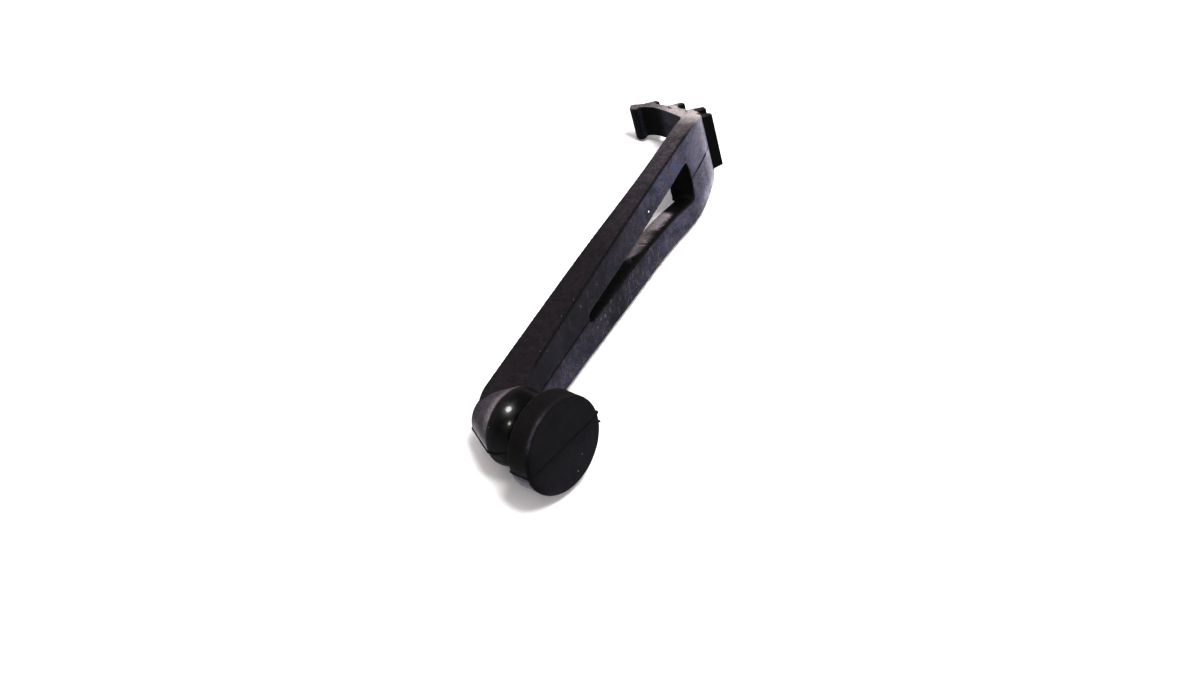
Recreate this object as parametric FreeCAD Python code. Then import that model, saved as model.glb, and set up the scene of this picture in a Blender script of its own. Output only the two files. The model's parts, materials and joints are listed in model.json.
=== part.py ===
import FreeCAD, Part
import math
import os

# Rubber hold-down strap, one moulding. Sizes in mm, angles in degrees.
# It is drawn on the plane the two mould halves meet in: X runs from the button to the hook end,
# Y runs back from the button's face and Z is the strap's width. At the end it is laid down to rest.

# Button, the round head the strap is anchored by. Its axis is Y and its face is at Y = 0.
button_radius = 10.0
button_thickness = 5.4
button_edge_round = 0.5

# Neck, the groove between the button and the round end of the strap
neck_length = 7.6
neck_radius = 4.7
neck_seat_radius = 5.9
neck_seat_depth = 1.5
neck_waist_length = 0.66
neck_dome_height = 0.8

# Round end of the strap, a cone that opens towards the button
boss_front_radius = 8.1
boss_back_radius = 4.4
boss_length = 8.0
boss_edge_round = 0.8

# Straight part: middle line given by its slope, which eases off with the distance from the button's
# axis. It starts a setback behind the round end's front rim.
strap_start_setback = 3.6
strap_start_slope = 13.6
strap_end_slope = 10.8
strap_length = 74.0
strap_start_thickness = 8.0
strap_end_thickness = 4.5
strap_start_half_width = 5.7
strap_mid_half_width = 7.7
strap_end_half_width = 9.9
strap_round_end_offset = 3.0

# Hook end: stations along the bend and the pull tab, each (X, Y, slope, thickness, half width),
# with X and Y from the end of the straight part
widest = (9.2, 1.9, 13.0, 4.5, 10.5)
shoulder = (15.7, 4.2, 24.0, 4.7, 9.6)
corner = (21.3, 7.4, 42.0, 4.9, 7.7)
tab_root = (24.3, 12.6, 66.0, 3.3, 5.7)
tab_middle = (26.1, 18.4, 80.0, 2.4, 4.5)
tab_bend = (26.5, 23.4, 95.0, 1.9, 4.1)
tab_end = (23.7, 29.2, 122.0, 1.9, 4.3)

# Lip, a round bead along the tab's end, proud of the tab's inner side
lip_rise = 0.8
lip_half_width = 4.5
lip_end_round = 0.5

# Keyhole slot through the wide face. Its far end is measured from the end of the straight part,
# and each run leads back from there: to the shoulder, the waist, the throat and the tip
slot_far_end = 8.8
slot_eye_depth = 1.3
slot_eye_half_width = 4.9
slot_shoulder_run = 6.1
slot_shoulder_half_width = 4.05
slot_waist_run = 8.0
slot_waist_half_width = 3.1
slot_throat_run = 11.5
slot_throat_half_width = 2.15
slot_tip_run = 23.0
slot_tip_radius = 1.3

# Grip ribs on the outside of the bend and of the tab: (X of foot, Y of foot, direction, height,
# half width), from the end of the straight part too; the first is the large bar at the corner
ribs = (
    (21.5, 5.0, -29.0, 3.2, 7.4),
    (24.5, 9.2, -28.0, 3.1, 6.4),
    (26.9, 16.6, -17.0, 2.3, 5.0),
    (27.4, 24.0, -8.0, 1.4, 4.2),
)
rib_tip_thickness = 1.3
rib_foot_thickness = 2.6
rib_foot_sink = 1.2
rib_end_draft = 0.4


def vec(x, y, z=0.0):
    return FreeCAD.Vector(x, y, z)


def direction(angle):
    """Unit vector in the middle plane, angle from X towards Y."""
    return vec(math.cos(math.radians(angle)), math.sin(math.radians(angle)))


def button():
    disc = Part.makeCylinder(button_radius, button_thickness, vec(0, 0), vec(0, 1))
    rims = [edge for edge in disc.Edges if isinstance(edge.Curve, Part.Circle)]
    return disc.makeFillet(button_edge_round, rims)


def neck():
    """Cove at the button's back, waist, and a dome that swells out to the front rim of the round end."""
    top = button_thickness
    rim = top + neck_length
    waist = top + neck_seat_depth
    dome_foot = vec(neck_radius, waist + neck_waist_length)
    dome_rim = vec(boss_front_radius, rim)
    chord = dome_rim - dome_foot
    crown = dome_foot + chord / 2 + vec(chord.y, -chord.x).normalize() * neck_dome_height
    ease = neck_waist_length * 0.9
    lead = dome_foot - vec(0, ease)
    tail = dome_foot + (crown - dome_foot).normalize() * ease
    cove = Part.BezierCurve()
    cove.setPoles([lead, dome_foot, tail])
    seat = Part.BezierCurve()
    seat.setPoles([vec(neck_seat_radius, top), vec(neck_radius, top), vec(neck_radius, waist)])
    edges = [
        Part.makeLine(vec(0, top - 1), vec(neck_seat_radius, top - 1)),
        Part.makeLine(vec(neck_seat_radius, top - 1), vec(neck_seat_radius, top)),
        seat.toShape(),
        Part.makeLine(vec(neck_radius, waist), lead),
        cove.toShape(),
        Part.Arc(tail, crown, dome_rim).toShape(),
        Part.makeLine(dome_rim, vec(0, rim)),
        Part.makeLine(vec(0, rim), vec(0, top - 1)),
    ]
    return Part.Face(Part.Wire(edges)).revolve(vec(0, 0), vec(0, 1), 360)


def boss():
    front = vec(0, button_thickness + neck_length)
    cone = Part.makeCone(boss_front_radius, boss_back_radius, boss_length, front, vec(0, 1))
    back_rim = min((edge for edge in cone.Edges if isinstance(edge.Curve, Part.Circle)), key=lambda e: e.Length)
    return cone.makeFillet(boss_edge_round, [back_rim])


def strap_start_y():
    return button_thickness + neck_length + strap_start_setback


def strap_station(along):
    """Station of the straight part: its slope changes evenly with the distance along it."""
    part = along / strap_length
    slope = strap_start_slope + (strap_end_slope - strap_start_slope) * part
    mean = math.radians((strap_start_slope + slope) / 2)
    x = along * math.cos(mean)
    y = strap_start_y() + along * math.sin(mean)
    thickness = strap_start_thickness + (strap_end_thickness - strap_start_thickness) * part
    bulge = strap_mid_half_width - (strap_start_half_width + strap_end_half_width) / 2
    half_width = strap_start_half_width + (strap_end_half_width - strap_start_half_width) * part
    half_width += 4 * bulge * part * (1 - part)
    return (x, y, slope, thickness, half_width)


def rail(stations, side, edge, steps):
    """Long edge of the strap: side is -1 on the wide face and 1 on the back, edge is -1 low and 1 high."""
    points = []
    for x, y, slope, thickness, half_width in stations:
        points.append(vec(x, y, edge * half_width) + direction(slope + 90) * (side * thickness / 2))
    curve = Part.BSplineCurve()
    curve.interpolate(Points=points, Parameters=steps)
    return curve.toShape()


def skin(stations):
    """Solid with four long faces, each ruled between two rails, and a flat face at each end."""
    steps = [0.0]
    for before, after in zip(stations, stations[1:]):
        steps.append(steps[-1] + math.hypot(after[0] - before[0], after[1] - before[1]))
    corners = [(-1, -1), (1, -1), (1, 1), (-1, 1)]
    rails = [rail(stations, side, edge, steps) for side, edge in corners]
    faces = [Part.makeRuledSurface(rails[i], rails[(i + 1) % 4]) for i in range(4)]
    for end in (0, -1):
        points = [r.Vertexes[end].Point for r in rails]
        faces.append(Part.Face(Part.makePolygon(points + points[:1])))
    shell = Part.Compound(faces)
    shell.sewShape()
    solid = Part.Solid(shell.Shells[0])
    if solid.Volume < 0:
        solid.reverse()
    return solid


def from_band_end(x, y):
    """Point given from the end of the straight part."""
    end_x, end_y = strap_station(strap_length)[:2]
    return (end_x + x, end_y + y)


def strap():
    third = (strap_length - strap_round_end_offset) / 3
    stations = [strap_station(strap_round_end_offset + third * i) for i in range(4)]
    x, y, slope, thickness, half_width = stations[0]
    across = direction(slope + 90)
    end = Part.makeCylinder(half_width, thickness, vec(x, y) - across * (thickness / 2), across)
    for station in (widest, shoulder, corner, tab_root, tab_middle, tab_bend, tab_end):
        stations.append(from_band_end(*station[:2]) + station[2:])
    return skin(stations), end


def lip():
    """Bead flush with the tab's outer side, which stops a finger slipping off the tab."""
    x, y, slope, thickness = tab_end[:4]
    radius = (thickness + lip_rise) / 2
    middle = vec(*from_band_end(x, y)) + direction(slope + 90) * (lip_rise / 2) - direction(slope) * radius
    bead = Part.makeCylinder(radius, 2 * lip_half_width, middle - vec(0, 0, lip_half_width), vec(0, 0, 1))
    rims = [edge for edge in bead.Edges if isinstance(edge.Curve, Part.Circle)]
    return bead.makeFillet(lip_end_round, rims)


def slot():
    """Keyhole prism square to the strap's mean slope."""
    far_end = strap_length + slot_far_end
    eye = far_end - slot_eye_depth
    shoulder_at = eye - slot_shoulder_run
    waist_at = shoulder_at - slot_waist_run
    throat_at = waist_at - slot_throat_run
    tip_at = throat_at - slot_tip_run
    flank = [
        (eye, slot_eye_half_width),
        (shoulder_at, slot_shoulder_half_width),
        (waist_at, slot_waist_half_width),
        (throat_at, slot_throat_half_width),
        (tip_at, slot_tip_radius),
    ]
    upper = Part.BSplineCurve()
    upper.interpolate([vec(s, w) for s, w in flank], InitialTangent=vec(-1, 0), FinalTangent=vec(-1, -0.04))
    lower = Part.BSplineCurve()
    lower.interpolate([vec(s, -w) for s, w in flank], InitialTangent=vec(-1, 0), FinalTangent=vec(-1, 0.04))
    oval = Part.Ellipse(vec(eye, slot_eye_half_width), vec(far_end, 0), vec(eye, 0))
    far = Part.ArcOfEllipse(oval, 0, math.pi)
    near_end = vec(tip_at - slot_tip_radius, 0)
    near = Part.Arc(vec(tip_at, slot_tip_radius), near_end, vec(tip_at, -slot_tip_radius))
    wire = Part.Wire(Part.__sortEdges__([upper.toShape(), far.toShape(), lower.toShape(), near.toShape()]))
    reach = 3 * strap_start_thickness
    prism = Part.Face(wire).extrude(vec(0, 0, 2 * reach))
    prism.translate(vec(0, 0, -reach))
    slope = (strap_start_slope + strap_end_slope) / 2
    prism.rotate(vec(0, 0), vec(1, 0), 90)
    prism.rotate(vec(0, 0), vec(0, 0, 1), slope)
    prism.translate(vec(0, strap_start_y()))
    return prism


def rib(foot_x, foot_y, angle, height, half_width):
    """Upright rib: steep on the button's side, sloping on the tab's side."""
    out = direction(angle)
    back = direction(angle + 90)
    foot = vec(*from_band_end(foot_x, foot_y))
    sunk = foot - out * rib_foot_sink
    corners = [sunk, foot + out * height, foot + out * height + back * rib_tip_thickness,
               sunk + back * rib_foot_thickness]
    low = [c - vec(0, 0, half_width) for c in corners]
    high = [c + vec(0, 0, half_width) for c in corners]
    for side, sign in ((low, 1), (high, -1)):
        for i in (1, 2):
            side[i] = side[i] + vec(0, 0, sign * rib_end_draft)
    return Part.makeLoft([Part.makePolygon(low + low[:1]), Part.makePolygon(high + high[:1])], True, True)


def resting_up(shape):
    """Upward direction at rest. From lying on its edge the strap tips over the points it stands on
    until its centre of mass is above the triangle between three of them."""
    points = shape.tessellate(0.1)[0]
    centre = shape.CenterOfMass
    up = vec(0, 0, 1)
    pivots = [min(points, key=lambda p: p.dot(up))]
    while len(pivots) < 3:
        base = pivots[0]
        ahead = centre - base
        ahead = ahead - up * ahead.dot(up)
        if len(pivots) == 2:
            hinge = (pivots[1] - base).normalize()
            ahead = ahead - hinge * ahead.dot(hinge)
        ahead.normalize()

        def tip_angle(point):
            return math.atan2((point - base).dot(up), (point - base).dot(ahead))

        touching = min((p for p in points if (p - base).dot(ahead) > 0.01), key=tip_angle)
        angle = tip_angle(touching)
        up = up * math.cos(angle) - ahead * math.sin(angle)
        pivots.append(touching)
        if len(pivots) == 3:
            for third in pivots:
                first, second = [p for p in pivots if p is not third]
                across = up.cross(second - first)
                if across.dot(centre - first) * across.dot(third - first) < 0:
                    pivots = [first, second]
                    break
    return up


def build():
    body, end = strap()
    shape = body.fuse([end, boss(), neck(), button()])
    shape = shape.cut(slot())
    shape = shape.fuse([rib(*r) for r in ribs] + [lip()])
    return shape.removeSplitter().Solids[0]


def lay_down(shape):
    """Rest direction up, button face along -Y, origin under the middle of the box."""
    up = resting_up(shape)
    face = vec(0, -1, 0)
    ahead = (face - up * face.dot(up)).normalize() * -1
    side = ahead.cross(up)
    turn = FreeCAD.Matrix(side.x, side.y, side.z, 0, ahead.x, ahead.y, ahead.z, 0, up.x, up.y, up.z, 0, 0, 0, 0, 1)
    shape = shape.transformed(turn)
    box = shape.BoundBox
    shift = vec(-box.Center.x, -box.Center.y, -box.ZMin)
    shape.translate(shift)
    return shape, turn, shift


os.makedirs("parts", exist_ok=True)
part, turn, shift = lay_down(build())
part.exportStep("parts/strap.step")
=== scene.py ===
import json
import math

import bmesh
import bpy
import numpy as np
from mathutils import Matrix, Vector


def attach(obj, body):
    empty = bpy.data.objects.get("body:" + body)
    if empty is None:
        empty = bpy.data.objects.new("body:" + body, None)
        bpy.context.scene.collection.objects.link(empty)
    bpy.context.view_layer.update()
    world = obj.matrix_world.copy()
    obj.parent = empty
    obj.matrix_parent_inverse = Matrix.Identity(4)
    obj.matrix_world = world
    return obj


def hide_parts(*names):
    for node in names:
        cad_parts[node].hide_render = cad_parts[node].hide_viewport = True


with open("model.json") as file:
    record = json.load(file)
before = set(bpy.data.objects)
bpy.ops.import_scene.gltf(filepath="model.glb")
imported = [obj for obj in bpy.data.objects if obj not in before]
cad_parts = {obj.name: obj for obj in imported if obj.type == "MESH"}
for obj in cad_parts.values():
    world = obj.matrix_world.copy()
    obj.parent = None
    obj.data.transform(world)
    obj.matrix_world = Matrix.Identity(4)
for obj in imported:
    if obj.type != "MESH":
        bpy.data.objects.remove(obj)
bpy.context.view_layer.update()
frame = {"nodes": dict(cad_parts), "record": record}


# The whole strap is one moulding of black rubber: button, neck, round end, slotted band, bend and
# ribbed pull tab. It was pressed in a two-part steel mould and pulled out hot, so every edge is a
# little soft. Handling left hairline scratches, and a grey-blue bloom has come out towards the hook.
# The colours below also carry painted sheen, painted reflections of the floor, painted highlights and
# painted shade.
MM = 0.001
SAME_POINT = 0.001 * MM
SKIN_GRID = 0.17 * MM
SKIN_TRIANGLES = 170000
SOFTENING_STEP = 0.5
EDGE_PASSES, TURNED_PASSES = 9, 60

# places on the strap in millimetres, from the centre of the button's face
BUTTON_RADIUS, BUTTON_BACK = 10.0, 6.0
SEAT_RADIUS, SEAT_BACK = 8.0, 13.0
FACE_START, FACE_SLOPE = 13.47, 0.2248
FACE_BOW, BOW_NEAR, BOW_FAR = 0.00069, 32.9, 80.8
SLOT_NEAR, SLOT_FAR, SLOT_HALF_WIDTH = 24.0, 85.0, 5.4
BEND_NEAR, TAB_START, LIP_START = 82.0, 44.0, 58.2

moulding_mesh = frame["nodes"]["strap"].data.copy()
moulding_mesh.name = "strap_moulding"
moulding = bpy.data.objects.new("strap_moulding", moulding_mesh)
bpy.context.scene.collection.objects.link(moulding)

shell = bmesh.new()
shell.from_mesh(moulding_mesh)
bmesh.ops.remove_doubles(shell, verts=shell.verts, dist=SAME_POINT)
shell.to_mesh(moulding_mesh)


def take_result(piece):
    """Puts the piece's finished shape in its own plain mesh and clears its modifiers."""
    seen = piece.evaluated_get(bpy.context.evaluated_depsgraph_get())
    finished = bpy.data.meshes.new_from_object(seen)
    finished.name = piece.name
    piece.modifiers.clear()
    piece.data = finished


skin = moulding.modifiers.new("skin", "REMESH")
skin.mode = "VOXEL"
skin.voxel_size = SKIN_GRID
skin.use_smooth_shade = True
softening = moulding.modifiers.new("softening", "SMOOTH")
softening.factor = SOFTENING_STEP
softening.iterations = EDGE_PASSES
take_result(moulding)
thinning = moulding.modifiers.new("thinning", "DECIMATE")
thinning.ratio = min(1.0, SKIN_TRIANGLES / (2 * len(moulding.data.polygons)))
take_result(moulding)

# the strap's own directions: button to hook, back from the button's face, and up across the band
mounts = {mount["name"]: mount for mount in frame["record"]["mounts"]}
button_centre = Vector(mounts["button_face"]["pos_m"])
backward = -Vector(mounts["button_face"]["axis"])
upward = -backward.cross(Vector(mounts["keyhole"]["axis"])).normalized()
hookward = backward.cross(upward).normalized()
own_axes = np.array([hookward, backward, upward]).T


def per_vertex(mesh_part, name):
    values = np.empty(3 * len(mesh_part))
    mesh_part.foreach_get(name, values)
    return values.reshape(-1, 3)


def own_places(mesh):
    """Where each vertex is along, back and up, in millimetres."""
    return ((per_vertex(mesh.vertices, "co") - np.array(button_centre)) / MM @ own_axes).T


def own_facings(mesh):
    """How far each vertex faces the hook, the back and up, from -1 to 1."""
    return (per_vertex(mesh.vertex_normals, "vector") @ own_axes).T


def ramp(value, start, end):
    """0 before start, 1 after end and a smooth rise between them."""
    share = np.clip((value - start) / (end - start), 0.0, 1.0)
    return share * share * (3.0 - 2.0 * share)


def fade(value, start, end):
    """1 before start, 0 after end and a smooth fall between them."""
    return 1.0 - ramp(value, start, end)


# the neck and its seat are turned surfaces in the mould, so their facets are rubbed out
along, back, up = own_places(moulding.data)
turned = (back > BUTTON_BACK - 1.0) & (back < SEAT_BACK + 1.6)
turned &= np.hypot(along, up) < SEAT_RADIUS + 0.6
turned_group = moulding.vertex_groups.new(name="turned")
turned_group.add([int(i) for i in np.nonzero(turned)[0]], 1.0, "REPLACE")
rubbing = moulding.modifiers.new("rubbing", "SMOOTH")
rubbing.factor = SOFTENING_STEP
rubbing.iterations = TURNED_PASSES
rubbing.vertex_group = turned_group.name
take_result(moulding)
moulding.data.shade_smooth()


def behind_face(along, back):
    """Millimetres behind the wide face, which bows a little along the band."""
    bow = FACE_BOW * (along - BOW_NEAR) * (BOW_FAR - along)
    return back - FACE_START - FACE_SLOPE * along - bow


# a skin of rubber was left across the slot's far end, ragged, and thickest at the back: its thickness
# and its wave in millimetres, and how fast the wave turns across the slot, in radians a millimetre
LEFT_SKIN, SKIN_WAVE, WAVE_TURN = 2.3, 0.15, 1.9
along, back, up = own_places(moulding.data)
facing_hook, facing_back, facing_up = own_facings(moulding.data)
left_skin = ramp(along, SLOT_FAR - 8.0, SLOT_FAR - 5.0) * fade(along, SLOT_FAR - 0.5, SLOT_FAR + 0.5)
left_skin *= fade(np.abs(up), SLOT_HALF_WIDTH - 0.8, SLOT_HALF_WIDTH)
left_skin *= ramp(-facing_hook, 0.25, 0.6) * ramp(behind_face(along, back), 0.8, 4.2)
left_skin *= LEFT_SKIN + SKIN_WAVE * np.sin(WAVE_TURN * up)
moved = per_vertex(moulding.data.vertices, "co") - np.outer(left_skin * MM, np.array(hookward))
moulding.data.vertices.foreach_set("co", moved.ravel())
moulding.data.update()

along, back, up = own_places(moulding.data)
facing_hook, facing_back, facing_up = own_facings(moulding.data)
facing_floor = ramp(-per_vertex(moulding.data.vertex_normals, "vector")[:, 2], -0.1, 0.5)
behind_wide_face = behind_face(along, back)
off_axis = np.hypot(along, up)

# the grip ribs: where each one's foot is, along and back, and the way it points in degrees
RIB_FEET = ((93.8, 37.2, -29.0), (96.8, 41.4, -28.0), (99.2, 48.8, -17.0), (99.7, 56.2, -8.0))
RIB_THICKNESS, RIB_MARGIN = 2.7, 0.4
on_rib = np.zeros_like(along)
for foot_along, foot_back, lean in RIB_FEET:
    out_way, back_way = math.cos(math.radians(lean)), math.sin(math.radians(lean))
    out_of_tab = (along - foot_along) * out_way + (back - foot_back) * back_way
    across_rib = (back - foot_back) * out_way - (along - foot_along) * back_way
    here = ramp(out_of_tab, 0.1, 0.5) * (across_rib > -RIB_MARGIN) * (across_rib < RIB_THICKNESS)
    on_rib = np.maximum(on_rib, here)

# which part of the strap each vertex is on, 0 to 1
top_side = ramp(facing_up, 0.5, 0.85)
wide_side = ramp(-facing_back, 0.5, 0.85)
on_button = fade(back, BUTTON_BACK, BUTTON_BACK + 1.0)
off_face = ramp(back, 0.5, 1.0)
on_neck = ramp(back, BUTTON_BACK - 1.0, BUTTON_BACK + 0.2) * fade(back, SEAT_BACK - 0.4, SEAT_BACK + 0.4)
on_neck *= fade(off_axis, SEAT_RADIUS - 0.4, SEAT_RADIUS + 0.2)
on_round_end = ramp(back, SEAT_BACK - 0.2, SEAT_BACK + 0.4) * ramp(facing_back, 0.1, 0.35)
on_round_end *= fade(off_axis, SEAT_RADIUS + 0.6, SEAT_RADIUS + 1.4) * fade(along, 1.0, 7.0)
in_slot = ramp(along, SLOT_NEAR, SLOT_NEAR + 2.0) * fade(along, SLOT_FAR, SLOT_FAR + 0.6)
in_slot *= fade(np.abs(up), SLOT_HALF_WIDTH, SLOT_HALF_WIDTH + 0.6)
in_slot *= ramp(behind_wide_face, 0.1, 0.4) * fade(facing_back, 0.5, 0.8)
in_slot *= 1.0 - wide_side * fade(behind_wide_face, 0.5, 0.9)
on_bend = wide_side * fade(back, TAB_START - 3.0, TAB_START)
inside_tab = ramp(back, TAB_START - 4.0, TAB_START) * ramp(-facing_hook, 0.3, 0.6)
# painted shade inside the tab towards its lip
shaded_near_lip = ramp(back, TAB_START + 8.0, TAB_START + 12.0)
on_lip = ramp(back, LIP_START, LIP_START + 0.6)

# painted reflection and shade on the slot's lower wall: grey painted reflection behind a line that comes
# closer to the wide face towards the hook, and black painted shade in front of it
LIT_WALL_LINE = ((50.0, 4.5), (52.5, 2.6), (54.5, 1.5), (56.5, 0.8), (66.0, 0.7))
painted_lit_wall = ramp(behind_wide_face - np.interp(along, *zip(*LIT_WALL_LINE)), 0.0, 1.0)
painted_lit_wall *= ramp(facing_up, 0.2, 0.5) * fade(along, 71.5, 73.0)

# painted highlight: a thin shine on the button's front edge at the upper left; painted shade: a dark place
# below it
left_edge = on_button * (1.0 - off_face) * ramp(-along, 1.0, 3.0)
painted_edge_highlight = left_edge * ramp(off_axis, BUTTON_RADIUS - 0.28, BUTTON_RADIUS - 0.15)
painted_edge_highlight *= ramp(back, 0.02, 0.1) * ramp(up, 4.5, 6.5)
painted_edge_shade = left_edge * ramp(off_axis, BUTTON_RADIUS - 1.4, BUTTON_RADIUS - 0.7)
painted_edge_shade *= fade(up, 3.5, 5.5) * ramp(up, -7.0, -4.0)

# bloom and painted sheen: thicker towards the hook and on the lower half of the wide face; the top side
# keeps only a share, as painted shade; painted sheen on the round end, painted reflection of the floor on
# faces turned down, painted reflection on the slot's lit wall and a painted highlight on the button's front
# edge
BLOOM_EVERYWHERE, BLOOM_ALONG_SLOT, BLOOM_AT_HOOK = 0.13, 0.27, 0.6
BLOOM_ON_LOWER_HALF, TOP_SIDE_SHADED_SHARE, FLOOR_REFLECTION_BLOOM = 0.4, 0.38, 0.8
BUTTON_BLOOM, BUTTON_FLOOR_REFLECTION_BLOOM = 0.03, 0.06
END_SHEEN_BLOOM, END_FLOOR_REFLECTION_BLOOM, END_FLOOR_REFLECTION_SHARE = 0.5, 0.35, 0.5
WALL_REFLECTION_BLOOM, TAB_BLOOM, LIP_BLOOM, EDGE_HIGHLIGHT_BLOOM = 1.4, 0.35, 0.06, 0.25
LIP_SHADE = 0.8
bloom_and_sheen = BLOOM_EVERYWHERE + BLOOM_ALONG_SLOT * ramp(along, 36.0, 60.0)
bloom_and_sheen += BLOOM_AT_HOOK * ramp(along, 55.0, BEND_NEAR)
bloom_and_sheen += BLOOM_ON_LOWER_HALF * wide_side * ramp(-up, 0.0, 0.6) * fade(along, 22.0, 44.0)
# painted shade: the top side keeps only a share of the bloom
bloom_and_sheen = np.where(top_side > 0.5, TOP_SIDE_SHADED_SHARE * bloom_and_sheen, bloom_and_sheen)
# the button lighter towards its bottom and the round end towards its lower part as painted reflection of the
# floor, painted sheen on the round end, painted reflection on the slot's lit wall
for part, part_bloom in (
    (on_button, BUTTON_BLOOM + BUTTON_FLOOR_REFLECTION_BLOOM * ramp(-up, -2.0, 8.0)),
    (on_round_end, END_SHEEN_BLOOM + END_FLOOR_REFLECTION_BLOOM * ramp(4.0 - up, 0.0, 5.0)),
    (in_slot, WALL_REFLECTION_BLOOM * painted_lit_wall),
    (inside_tab, TAB_BLOOM * (1.0 - shaded_near_lip) + LIP_BLOOM * on_lip),
):
    bloom_and_sheen = bloom_and_sheen * (1.0 - part) + part_bloom * part
# painted shade: the faces near the tab's lip, except the top, lose most of their bloom
bloom_and_sheen *= 1.0 - LIP_SHADE * shaded_near_lip * (1.0 - top_side)
# painted reflection of the white floor on the button's and the round end's faces turned down
floor_reflection_places = facing_floor * (on_button * off_face + END_FLOOR_REFLECTION_SHARE * on_round_end)
bloom_and_sheen += FLOOR_REFLECTION_BLOOM * floor_reflection_places
bloom_and_sheen *= (1.0 - on_neck) * (1.0 - on_rib)
# painted highlight on the button's front edge
bloom_and_sheen += EDGE_HIGHLIGHT_BLOOM * painted_edge_highlight

# painted sheen: a pale painted sheen on the band's upper side rising towards the bend, and on the wide face
# at the bend and by the bar; a painted highlight on the round end's upper edge; painted reflection of the
# floor on the round end's lower part and under the button, and on the slot's lit wall
SHEEN_ON_TOP = ((45.0, 0.0), (70.0, 0.015), (82.0, 0.035), (87.0, 0.09), (91.0, 0.4), (94.0, 0.75))
TAB_TOP_SHEEN_LOSS = 0.8
BEND_SHEEN, BAR_FOOT_SHEEN, BEND_CORNER_SHEEN = 0.1, 0.32, 0.5
END_TOP_HIGHLIGHT, END_LOWER_REFLECTION = 0.18, 0.38
RIB_TOP_SHEEN, WALL_REFLECTION_SHEEN, BUTTON_UNDERSIDE_REFLECTION = 0.03, 0.28, 0.25
painted_sheen = np.interp(along, *zip(*SHEEN_ON_TOP)) * top_side
painted_sheen *= 1.0 - TAB_TOP_SHEEN_LOSS * ramp(back, 46.0, 59.0)
painted_sheen += on_bend * (BEND_SHEEN * ramp(along, 80.0, 88.0) + BAR_FOOT_SHEEN * ramp(along, 88.5, 92.5))
painted_sheen += BEND_CORNER_SHEEN * on_bend * ramp(along, 80.0, 89.0) * ramp(-up, 5.5, 9.5)
end_top = ramp(facing_up, 0.3, 0.8) * fade(back, SEAT_BACK + 0.6, SEAT_BACK + 3.0)
# painted highlight on the round end's upper edge and painted reflection of the floor on its lower part
painted_sheen += on_round_end * (END_TOP_HIGHLIGHT * end_top + END_LOWER_REFLECTION * fade(up, 0.0, 3.5))
painted_sheen *= (1.0 - on_rib) * (1.0 - in_slot)
# painted sheen on the ribs' tops and painted reflection on the slot's lit wall
painted_sheen += RIB_TOP_SHEEN * on_rib * top_side + WALL_REFLECTION_SHEEN * painted_lit_wall * in_slot
# painted reflection of the floor on the button's faces turned down
painted_sheen += BUTTON_UNDERSIDE_REFLECTION * facing_floor * on_button * off_face

# black: the neck, and the ribs and the bar below the top side; painted shade in the slot in front of its lit
# wall, along the long edge between the top and the wide face, inside the tab near its lip, on the button's
# rim and below the button's left edge
CORNER_SPREAD_PASSES, CORNER_SPREAD_SHARE = 2, 0.8
CORNER_SHADE, RIM_SHADE = 0.9, 0.7
# painted shade along the long edge between the top and the wide face, spread to its neighbours
shaded_corner_edge = ramp(facing_up, 0.2, 0.4) * ramp(-facing_back, 0.2, 0.4) * ramp(along, 8.0, 12.0)
shaded_corner_edge *= (1.0 - on_button) * (1.0 - in_slot) * fade(along, BEND_NEAR, BEND_NEAR + 10.0)
edge_ends = np.empty(2 * len(moulding.data.edges), dtype=int)
moulding.data.edges.foreach_get("vertices", edge_ends)
first_ends, second_ends = edge_ends[0::2], edge_ends[1::2]
for _ in range(CORNER_SPREAD_PASSES):
    inner = CORNER_SPREAD_SHARE * shaded_corner_edge
    np.maximum.at(shaded_corner_edge, first_ends, inner[second_ends])
    np.maximum.at(shaded_corner_edge, second_ends, inner[first_ends])
# painted shade on the button's rim, except where it faces the floor
shaded_button_rim = on_button * ramp(back, 0.6, 1.2) * (1.0 - facing_floor)
black_and_painted_shade = np.maximum.reduce([
    on_neck, on_rib * (1.0 - top_side), in_slot * (1.0 - painted_lit_wall), CORNER_SHADE * shaded_corner_edge,
    inside_tab * shaded_near_lip * (1.0 - on_lip), RIM_SHADE * shaded_button_rim, painted_edge_shade,
])

# brown and painted light: the upper faces are tinted brown as painted light from above; the round end and
# the slot are tinted brown, and so is the button's painted edge highlight; the scratches are on the wide
# face, most on its lower half
END_BROWN, SLOT_BROWN, EDGE_HIGHLIGHT_BROWN = 0.9, 0.5, 0.6
FEWEST_SCRATCHES, UPPER_HALF_SCRATCHES, BUTTON_SPARED = 0.1, 0.25, 0.6
brown_and_top_light = np.maximum.reduce([
    top_side, END_BROWN * on_round_end, SLOT_BROWN * in_slot, EDGE_HIGHLIGHT_BROWN * painted_edge_highlight,
])
brown_and_top_light *= 1.0 - on_neck
scratch_places = wide_side * ramp(along, 12.0, 24.0) * (1.0 - in_slot)
scratch_places = FEWEST_SCRATCHES + (1.0 - FEWEST_SCRATCHES) * scratch_places
scratch_places *= UPPER_HALF_SCRATCHES + (1.0 - UPPER_HALF_SCRATCHES) * ramp(-up, 0.0, 2.0)
scratch_places *= fade(along, 62.0, 74.0) * (1.0 - on_neck) * (1.0 - BUTTON_SPARED * on_button)
for name, amounts in (
    ("bloom_and_sheen", bloom_and_sheen), ("painted_sheen", painted_sheen), ("black_and_painted_shade", black_and_painted_shade),
    ("brown_and_top_light", brown_and_top_light), ("scratch_places", scratch_places), ("polished", on_neck),
):
    moulding.data.attributes.new(name, "FLOAT", "POINT").data.foreach_set("value", amounts)


def new_rubber(name):
    rubber = bpy.data.materials.new(name)
    rubber.use_nodes = True
    rubber.node_tree.nodes.clear()
    return rubber


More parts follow.
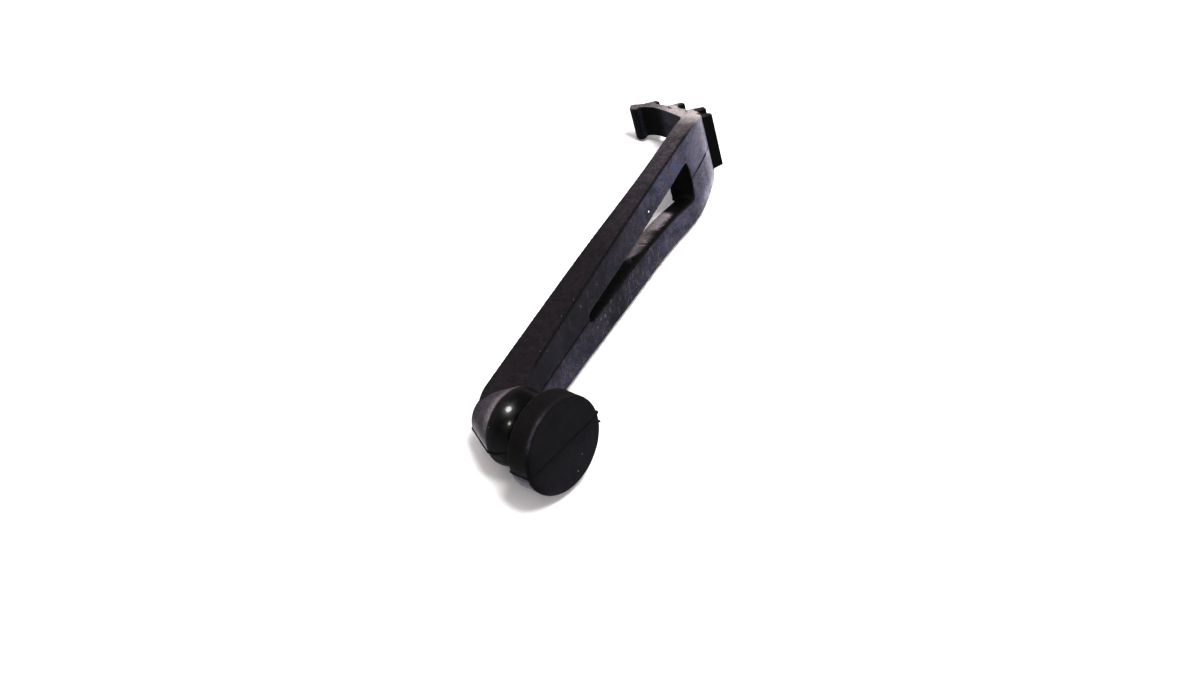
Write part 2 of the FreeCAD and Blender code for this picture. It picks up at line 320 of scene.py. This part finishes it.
def add_node(tree, kind, inputs=None, **settings):
    """Adds one node, sets its properties and its unlinked inputs, and links any socket given."""
    node = tree.nodes.new(kind)
    for name, value in settings.items():
        setattr(node, name, value)
    for name, value in (inputs or {}).items():
        if isinstance(value, bpy.types.NodeSocket):
            tree.links.new(value, node.inputs[name])
        else:
            node.inputs[name].default_value = value
    return node


def blend_colours(tree, share, first, second):
    """Mixes two colours, each a colour or a socket, and returns the result's socket."""
    mix = add_node(tree, "ShaderNodeMix", {0: share}, data_type="RGBA")
    for socket, value in ((mix.inputs[6], first), (mix.inputs[7], second)):
        if isinstance(value, bpy.types.NodeSocket):
            tree.links.new(value, socket)
        else:
            socket.default_value = (*value, 1.0)
    return mix.outputs[2]


def spread(tree, value, low, high, to_low=0.0, to_high=1.0):
    """Takes the values from low to high smoothly to those from to_low to to_high."""
    return add_node(
        tree, "ShaderNodeMapRange",
        {"Value": value, "From Min": low, "From Max": high, "To Min": to_low, "To Max": to_high},
        interpolation_type="SMOOTHSTEP",
    ).outputs[0]


def combine(tree, operation, first, *others):
    for other in others:
        first = add_node(tree, "ShaderNodeMath", {0: first, 1: other}, operation=operation).outputs[0]
    return first


def noise(tree, place, scale, detail, roughness=0.6, distortion=0.0):
    return add_node(tree, "ShaderNodeTexNoise", {
        "Vector": place, "Scale": scale, "Detail": detail, "Roughness": roughness, "Distortion": distortion,
    }).outputs[0]


def amount(tree, name):
    return add_node(tree, "ShaderNodeAttribute", attribute_name=name).outputs["Fac"]


BLACK_RUBBER = (0.0026, 0.0026, 0.0036)
# near black: the neck's, the ribs' and the bar's colour, and the colour of painted shade
BLACK_AND_SHADE = (0.0011, 0.0010, 0.0011)
# brown tint, and on the upper faces painted light from above
BROWN_AND_TOP_LIGHT = (0.0120, 0.0074, 0.0095)
# bloom colours, which also carry painted sheen and painted reflection
BLUE_BLOOM_AND_SHEEN = (0.048, 0.054, 0.094)
MAUVE_BLOOM_AND_SHEEN = (0.074, 0.060, 0.080)
# colours of the painted sheen and painted reflection: beige on the upper faces, lilac elsewhere
BEIGE_SHEEN = (0.56, 0.495, 0.49)
LILAC_SHEEN = (0.50, 0.48, 0.56)
SCRATCH = (0.20, 0.19, 0.22)
DUST = (0.42, 0.41, 0.38)
CLOUDS_PER_METRE, DUST_CELLS_PER_METRE = 160.0, 420.0
TINTS_PER_METRE, MOTTLES_PER_METRE, GRAINS_PER_METRE = 420.0, 900.0, 3600.0
SCRATCH_LEANS = (35.0, 78.0)
SCRATCH_LENGTH, SCRATCH_WIDTH = 15.0 * MM, 0.17 * MM
SCRATCH_STRENGTH, SCRATCH_DEPTH, DUST_STRENGTH = 0.75, 0.5, 0.5
GRAIN_HEIGHT, GRAIN_STRENGTH = 0.025 * MM, 0.3
POLISH, RUBBER_SPECULAR = 0.3, 0.05
NECK_COAT, NECK_COAT_ROUGHNESS = 0.085, 0.12

# how the noises thin and thicken each layer: the noise's low and high, and the layer's share at each
BLOOM_BY_CLOUDS, BLOOM_BY_GRAIN = (0.3, 0.68, 0.5, 1.1), (0.35, 0.65, 0.55, 1.4)
BLOOM_BY_MOTTLE, MAUVE_BY_TINT = (0.35, 0.65, 0.75, 1.25), (0.35, 0.65)
SHEEN_BY_CLOUDS, SHEEN_BY_GRAIN = (0.3, 0.6, 0.7, 1.0), (0.35, 0.65, 0.75, 1.2)
SHEEN_BY_MOTTLE, BROWN_BY_MOTTLE = (0.3, 0.7, 0.65, 1.15), (0.35, 0.65, 0.15, 1.0)
BROWN_BY_GRAIN, DULLNESS_BY_MOTTLE = (0.35, 0.65, 0.4, 1.3), (0.3, 0.7, 0.58, 0.72)
SCRATCH_BY_STREAK, SCRATCH_BY_CLOUDS = (0.68, 0.75), (0.4, 0.55)
DUST_BY_DISTANCE, DUST_BY_LUCK = (0.03, 0.055, 1.0, 0.0), (0.7, 0.95)

rubber = new_rubber("moulded_rubber")
nodes = rubber.node_tree
place = add_node(nodes, "ShaderNodeTexCoord").outputs["Object"]
clouds = noise(nodes, place, CLOUDS_PER_METRE, detail=5.0, roughness=0.62, distortion=0.6)
tint = noise(nodes, place, TINTS_PER_METRE, detail=4.0)
mottle = noise(nodes, place, MOTTLES_PER_METRE, detail=3.0)
grain = noise(nodes, place, GRAINS_PER_METRE, detail=2.0, roughness=0.7)

# hairline scratches: long thin streaks that run slightly across the band, in two directions
streaks = []
for lean in SCRATCH_LEANS:
    streak_line = hookward * math.cos(math.radians(lean)) + upward * math.sin(math.radians(lean))
    streak_axes = Matrix((streak_line, backward, streak_line.cross(backward))).transposed()
    laid = add_node(nodes, "ShaderNodeMapping", {
        "Vector": place, "Rotation": streak_axes.to_euler(),
        "Scale": (SCRATCH_LENGTH, SCRATCH_WIDTH, SCRATCH_WIDTH),
    }, vector_type="TEXTURE")
    streak = noise(nodes, laid.outputs[0], scale=1.0, detail=1.0, roughness=0.4)
    streaks.append(spread(nodes, streak, *SCRATCH_BY_STREAK))
scratched = combine(
    nodes, "MULTIPLY", combine(nodes, "MAXIMUM", *streaks),
    amount(nodes, "scratch_places"), spread(nodes, clouds, *SCRATCH_BY_CLOUDS),
)

# dust: a small pale dot in some of the cells of a fine random mesh
cells = add_node(nodes, "ShaderNodeTexVoronoi", {
    "Vector": place, "Scale": DUST_CELLS_PER_METRE, "Randomness": 1.0,
})
lucky = add_node(nodes, "ShaderNodeSeparateColor", {"Color": cells.outputs["Color"]}).outputs[0]
dusty = combine(
    nodes, "MULTIPLY", spread(nodes, cells.outputs["Distance"], *DUST_BY_DISTANCE),
    spread(nodes, lucky, *DUST_BY_LUCK),
)

# bloom and painted sheen, thinned and thickened by the noises
bloom_and_sheen_share = combine(
    nodes, "MULTIPLY", amount(nodes, "bloom_and_sheen"), spread(nodes, clouds, *BLOOM_BY_CLOUDS),
    spread(nodes, grain, *BLOOM_BY_GRAIN), spread(nodes, mottle, *BLOOM_BY_MOTTLE),
)
# painted sheen, thinned and thickened by the noises
sheen_share = combine(
    nodes, "MULTIPLY", amount(nodes, "painted_sheen"), spread(nodes, clouds, *SHEEN_BY_CLOUDS),
    spread(nodes, mottle, *SHEEN_BY_MOTTLE), spread(nodes, grain, *SHEEN_BY_GRAIN),
)
brown_and_top_light_share = combine(
    nodes, "MULTIPLY", amount(nodes, "brown_and_top_light"),
    spread(nodes, mottle, *BROWN_BY_MOTTLE), spread(nodes, grain, *BROWN_BY_GRAIN),
)
# mauve where the tint noise says so and on the upper faces, where it is painted light from above
mauve_share = combine(
    nodes, "MAXIMUM", spread(nodes, tint, *MAUVE_BY_TINT), amount(nodes, "brown_and_top_light"),
)
bloom_and_sheen_colour = blend_colours(nodes, mauve_share, BLUE_BLOOM_AND_SHEEN, MAUVE_BLOOM_AND_SHEEN)
sheen_colour = blend_colours(nodes, amount(nodes, "brown_and_top_light"), LILAC_SHEEN, BEIGE_SHEEN)
colour = BLACK_RUBBER
for share, layer in (
    (brown_and_top_light_share, BROWN_AND_TOP_LIGHT),
    (bloom_and_sheen_share, bloom_and_sheen_colour),
    (sheen_share, sheen_colour),
    (amount(nodes, "black_and_painted_shade"), BLACK_AND_SHADE),
    (combine(nodes, "MULTIPLY", scratched, SCRATCH_STRENGTH), SCRATCH),
    (combine(nodes, "MULTIPLY", dusty, DUST_STRENGTH), DUST),
):
    colour = blend_colours(nodes, share, colour, layer)

dullness = combine(
    nodes, "ADD", spread(nodes, mottle, *DULLNESS_BY_MOTTLE),
    combine(nodes, "MULTIPLY", amount(nodes, "polished"), -POLISH),
)
height = combine(nodes, "ADD", grain, combine(nodes, "MULTIPLY", scratched, -SCRATCH_DEPTH))
relief = add_node(nodes, "ShaderNodeBump", {
    "Strength": GRAIN_STRENGTH, "Distance": GRAIN_HEIGHT, "Height": height,
})
surface = add_node(nodes, "ShaderNodeBsdfPrincipled", {
    "Base Color": colour, "Roughness": dullness, "Normal": relief.outputs[0],
    "Specular IOR Level": RUBBER_SPECULAR, "Coat Roughness": NECK_COAT_ROUGHNESS,
    "Coat Weight": combine(nodes, "MULTIPLY", amount(nodes, "polished"), NECK_COAT),
})
add_node(nodes, "ShaderNodeOutputMaterial", {"Surface": surface.outputs[0]})
moulding.data.materials.clear()
moulding.data.materials.append(rubber)
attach(moulding, "root")
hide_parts("strap")


# The parting line: where the two mould halves met, a thin fin of rubber was squeezed out all round
# the strap. It was left on, is a few tenths of a millimetre high, and is coloured near black, darker
# than the strap. Three nubs on the button's rim are the same rubber, left where the gates were torn off.
FIN_WIDTH, END_FIN_WIDTH, BEND_FIN_WIDTH, TAB_FIN_WIDTH = 0.10, 0.19, 0.16, 0.04
FIN_STEP, FIN_SIDES = 0.5 * MM, 6
FIN_RAGGEDNESS, FIN_RAGS_PER_METRE, RAG_LOW, RAG_HIGH = 1.5, 700.0, 0.3, 0.7
FIN_BLACK, FIN_GREY = (0.0006, 0.0006, 0.0006), (0.0022, 0.0019, 0.0021)
FIN_PITS_PER_METRE, FIN_PIT_DEPTH, FIN_PIT_STRENGTH = 2500.0, 0.05 * MM, 0.4
FIN_DULLNESS_BY_PITS = (0.3, 0.7, 0.55, 0.75)
# each nub's place along, back and up, and its radii
NUBS = (
    ((10.1, 0.7, 0.0), (0.45, 0.6, 0.35)),
    ((9.95, 0.4, -2.1), (0.22, 0.4, 0.3)),
    ((-10.0, 3.6, 0.1), (0.3, 0.9, 0.2)),
)

outline = bmesh.new()
outline.from_mesh(frame["nodes"]["strap"].data)
bmesh.ops.remove_doubles(outline, verts=outline.verts, dist=SAME_POINT)
cut = bmesh.ops.bisect_plane(
    outline, geom=outline.verts[:] + outline.edges[:] + outline.faces[:],
    plane_co=button_centre, plane_no=upward,
)
on_plane = {item for item in cut["geom_cut"] if isinstance(item, bmesh.types.BMEdge)}
bmesh.ops.delete(outline, geom=outline.faces[:], context="FACES_ONLY")
bmesh.ops.delete(outline, geom=[edge for edge in outline.edges if edge not in on_plane], context="EDGES")
bmesh.ops.delete(outline, geom=[v for v in outline.verts if not v.link_edges], context="VERTS")
parting_line = bpy.data.meshes.new("parting_flash")
outline.to_mesh(parting_line)
flash = bpy.data.objects.new("parting_flash", parting_line)
bpy.context.scene.collection.objects.link(flash)

# it is thickest on the button's, the neck's and the round end's side away from the hook, and on the
# bend before the bar; it is thin on the flat faces and thinnest round the bar and the tab
line_along, line_back, _ = own_places(parting_line)
away_from_hook = (line_back >= 0.3) & (line_back < 22.0) & (line_along < -3.0)
before_bar = (line_along > 84.0) & (line_along <= 91.0) & (line_back < 36.0)
round_tab = line_along > 91.0
fin_width = np.full(len(line_along), FIN_WIDTH)
fin_width[away_from_hook] = END_FIN_WIDTH
fin_width[before_bar] = BEND_FIN_WIDTH
fin_width[round_tab] = TAB_FIN_WIDTH
parting_line.attributes.new("fin_width", "FLOAT", "POINT").data.foreach_set("value", fin_width)

fin_rubber = new_rubber("flash_rubber")
nodes = fin_rubber.node_tree
place = add_node(nodes, "ShaderNodeTexCoord").outputs["Object"]
pits = noise(nodes, place, FIN_PITS_PER_METRE, detail=3.0, roughness=0.5)
relief = add_node(nodes, "ShaderNodeBump", {
    "Strength": FIN_PIT_STRENGTH, "Distance": FIN_PIT_DEPTH, "Height": pits,
})
surface = add_node(nodes, "ShaderNodeBsdfPrincipled", {
    "Base Color": blend_colours(nodes, pits, FIN_BLACK, FIN_GREY),
    "Roughness": spread(nodes, pits, *FIN_DULLNESS_BY_PITS),
    "Normal": relief.outputs[0], "Specular IOR Level": RUBBER_SPECULAR,
})
add_node(nodes, "ShaderNodeOutputMaterial", {"Surface": surface.outputs[0]})


def new_shape_tree(name, sizes):
    """Geometry tree with one geometry in, one out, and a named input for each size."""
    tree = bpy.data.node_groups.new(name, "GeometryNodeTree")
    tree.interface.new_socket("Geometry", in_out="INPUT", socket_type="NodeSocketGeometry")
    for label, kind in sizes:
        tree.interface.new_socket(label, in_out="INPUT", socket_type=kind)
    tree.interface.new_socket("Geometry", in_out="OUTPUT", socket_type="NodeSocketGeometry")
    return tree, tree.nodes.new("NodeGroupInput"), tree.nodes.new("NodeGroupOutput")


def shape_with(piece, tree, values):
    """Runs the tree on the piece with these named inputs and keeps the plain mesh."""
    modifier = piece.modifiers.new(tree.name, "NODES")
    modifier.node_group = tree
    for item in tree.interface.items_tree:
        if item.in_out == "INPUT" and item.name in values:
            modifier[item.identifier] = values[item.name]
    take_result(piece)


fin_tree, given, result = new_shape_tree("fin_along_parting_line", [
    ("Unit of width", "NodeSocketFloat"), ("Step", "NodeSocketFloat"), ("Raggedness", "NodeSocketFloat"),
    ("Rubber", "NodeSocketMaterial"),
])
line = add_node(fin_tree, "GeometryNodeMeshToCurve", {"Mesh": given.outputs["Geometry"]})
steps = add_node(fin_tree, "GeometryNodeResampleCurve", {
    "Curve": line.outputs[0], "Length": given.outputs["Step"],
}, mode="LENGTH")
drawn_width = add_node(fin_tree, "GeometryNodeInputNamedAttribute", {"Name": "fin_width"}, data_type="FLOAT")
where = add_node(fin_tree, "GeometryNodeInputPosition").outputs[0]
swing = add_node(fin_tree, "ShaderNodeMapRange", {
    "Value": noise(fin_tree, where, FIN_RAGS_PER_METRE, detail=3.0, roughness=0.5),
    "From Min": RAG_LOW, "From Max": RAG_HIGH, "To Min": 1.0, "To Max": given.outputs["Raggedness"],
})
radius = combine(
    fin_tree, "MULTIPLY", drawn_width.outputs[0], given.outputs["Unit of width"], swing.outputs[0],
)
section = add_node(fin_tree, "GeometryNodeCurvePrimitiveCircle", {
    "Resolution": FIN_SIDES, "Radius": 1.0,
}, mode="RADIUS")
fin = add_node(fin_tree, "GeometryNodeCurveToMesh", {
    "Curve": steps.outputs[0], "Profile Curve": section.outputs[0], "Scale": radius, "Fill Caps": True,
})
whole = add_node(fin_tree, "GeometryNodeRealizeInstances", {"Geometry": fin.outputs[0]})
coated = add_node(fin_tree, "GeometryNodeSetMaterial", {
    "Geometry": whole.outputs[0], "Material": given.outputs["Rubber"],
})
fin_tree.links.new(coated.outputs[0], result.inputs[0])
shape_with(flash, fin_tree, {
    "Unit of width": MM, "Step": FIN_STEP, "Raggedness": FIN_RAGGEDNESS, "Rubber": fin_rubber,
})


def add_lump(lumps, place, radii, axes):
    """Adds one round lump, with its place along, back and up and its radii in millimetres."""
    spot = button_centre + (hookward * place[0] + backward * place[1] + upward * place[2]) * MM
    shape = Matrix.Translation(spot) @ axes @ Matrix.Diagonal((*[radius * MM for radius in radii], 1.0))
    bmesh.ops.create_icosphere(lumps, subdivisions=2, radius=1.0, matrix=shape)


nubs = bmesh.new()
nubs.from_mesh(flash.data)
for nub_place, nub_radii in NUBS:
    add_lump(nubs, nub_place, nub_radii, Matrix((hookward, backward, upward)).transposed().to_4x4())
nubs.to_mesh(flash.data)
flash.data.shade_smooth()
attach(flash, "root")


# Grit: a few pale grains of sand, and one bright yellowish flake near the slot. They are loose dirt
# that stuck to the rubber, on the band's upper long edge and on the button's face.
# each grain's place along, back and up, and its size
FLAKE = (61.9, 27.72, 4.95, 0.22)
GRAINS = (
    FLAKE, (3.3, -0.02, -4.9, 0.09), (1.1, -0.02, -7.5, 0.12), (28.9, 20.5, 7.25, 0.12),
    (29.4, 20.9, 7.27, 0.08), (24.0, 19.7, 6.95, 0.12), (29.8, 20.1, 4.97, 0.10), (14.2, 17.0, 6.4, 0.10),
    (16.7, 23.8, 6.62, 0.10), (40.3, 23.4, 7.6, 0.09), (52.0, 25.6, 8.3, 0.10),
)
GRAIN_RADII = (0.8, 0.7, 1.3)
FLAKE_REACH = 1.0
SAND, FLAKE_YELLOW, GRIT_ROUGHNESS = (0.17, 0.16, 0.14), (0.95, 0.93, 0.60), 0.8

grit_mesh = bpy.data.meshes.new("grit")
grit = bpy.data.objects.new("grit", grit_mesh)
bpy.context.scene.collection.objects.link(grit)
grains = bmesh.new()
for *grain_place, size in GRAINS:
    add_lump(grains, grain_place, [radius * size for radius in GRAIN_RADII], Matrix.Identity(4))
grains.to_mesh(grit_mesh)
grit_mesh.shade_smooth()
on_flake = np.abs(own_places(grit_mesh)[0] - FLAKE[0]) < FLAKE_REACH
grit_mesh.attributes.new("flake", "FLOAT", "POINT").data.foreach_set("value", on_flake.astype(float))

stone = new_rubber("pale_grain")
nodes = stone.node_tree
surface = add_node(nodes, "ShaderNodeBsdfPrincipled", {
    "Base Color": blend_colours(nodes, amount(nodes, "flake"), SAND, FLAKE_YELLOW),
    "Roughness": GRIT_ROUGHNESS,
})
add_node(nodes, "ShaderNodeOutputMaterial", {"Surface": surface.outputs[0]})
grit_mesh.materials.append(stone)
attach(grit, "root")


# Studio: a large flat sheet of white paper under a soft light, as in the photograph, with a pale haze
# at the horizon and a dimmer room above, which keeps the rubber's upper faces dark.
PAPER_RADIUS, PAPER_CORNERS = 3.0, 96
PAPER_WHITE, PAPER_ROUGHNESS, PAPER_SPECULAR = (0.94, 0.92, 0.92, 1.0), 0.9, 0.1

floor_mesh = bpy.data.meshes.new("floor")
sheet = bmesh.new()
bmesh.ops.create_circle(
    sheet, cap_ends=True, cap_tris=False, segments=PAPER_CORNERS, radius=PAPER_RADIUS,
)
sheet.to_mesh(floor_mesh)
floor = bpy.data.objects.new("floor", floor_mesh)
bpy.context.scene.collection.objects.link(floor)
paper = bpy.data.materials.new("white_paper")
paper.use_nodes = True
paper_surface = paper.node_tree.nodes["Principled BSDF"]
paper_surface.inputs["Base Color"].default_value = PAPER_WHITE
paper_surface.inputs["Roughness"].default_value = PAPER_ROUGHNESS
paper_surface.inputs["Specular IOR Level"].default_value = PAPER_SPECULAR
floor_mesh.materials.append(paper)


def soft_light(name, place, aim, size, watts, colour=(1.0, 1.0, 1.0)):
    """A round lamp of this size across, turned towards its aim."""
    lamp = bpy.data.lights.new(name, "AREA")
    lamp.shape = "DISK"
    lamp.size = size
    lamp.energy = watts
    lamp.color = colour
    stand = bpy.data.objects.new(name, lamp)
    stand.location = place
    stand.rotation_mode = "QUATERNION"
    stand.rotation_quaternion = (Vector(aim) - Vector(place)).to_track_quat("-Z", "Y")
    bpy.context.scene.collection.objects.link(stand)
    return stand


# the large lamp lights the strap; the two small ones only draw the highlights on the polished neck
STRAP_MIDDLE, NECK_MIDDLE = (0.0, 0.0, 0.0), (-0.05, -0.02, 0.01)
overhead = soft_light(
    "overhead_lamp", (0.07, -0.145, 0.83), STRAP_MIDDLE, size=0.37, watts=8.3, colour=(1.0, 0.985, 0.985),
)
overhead.visible_glossy = False
neck_lamp = soft_light("neck_lamp", (-0.156, 0.047, 0.82), NECK_MIDDLE, size=0.24, watts=22.0)
neck_lamp.visible_diffuse = False
lamp_by_camera = soft_light(
    "lamp_by_camera", (-0.285, -0.236, 0.34), NECK_MIDDLE, size=0.06, watts=1.2, colour=(1.0, 0.97, 0.86),
)
lamp_by_camera.visible_diffuse = False

HAZE_STRENGTH, ROOM_STRENGTH, AIR_COLOUR = 1.3, 0.62, (1.0, 0.985, 0.98, 1.0)
HAZE_ENDS, ROOM_STARTS = 0.02, 0.4
world = bpy.data.worlds.new("studio")
bpy.context.scene.world = world
world.use_nodes = True
air = world.node_tree
air.nodes.clear()
heading = add_node(air, "ShaderNodeTexCoord").outputs["Generated"]
rise = add_node(air, "ShaderNodeSeparateXYZ", {"Vector": heading}).outputs["Z"]
glow = spread(air, rise, HAZE_ENDS, ROOM_STARTS, HAZE_STRENGTH, ROOM_STRENGTH)
sky = add_node(air, "ShaderNodeBackground", {"Color": AIR_COLOUR, "Strength": glow})
add_node(air, "ShaderNodeOutputWorld", {"Surface": sky.outputs[0]})


# Camera at the photograph's viewing angle: looking down on the button from the front left.
CAMERA_PLACE = Vector((-0.192138, -0.146443, 0.225067))
LOOKING = Vector((0.56903, 0.42833, -0.70194))
IMAGE_UP = Vector((0.50067, 0.49669, 0.70896))
SENSOR_MM, LENS_MM, NEAREST_SEEN = 36.0, 45.12, 0.01

view = bpy.data.cameras.new("camera")
view.sensor_width = SENSOR_MM
view.lens = LENS_MM
view.clip_start = NEAREST_SEEN
camera = bpy.data.objects.new("camera", view)
camera_axes = Matrix((LOOKING.cross(IMAGE_UP), IMAGE_UP, -LOOKING)).transposed().to_4x4()
camera.matrix_world = Matrix.Translation(CAMERA_PLACE) @ camera_axes
bpy.context.scene.collection.objects.link(camera)
bpy.context.scene.camera = camera
bpy.context.scene.view_settings.view_transform = "Standard"
bpy.context.scene.view_settings.look = "Medium High Contrast"
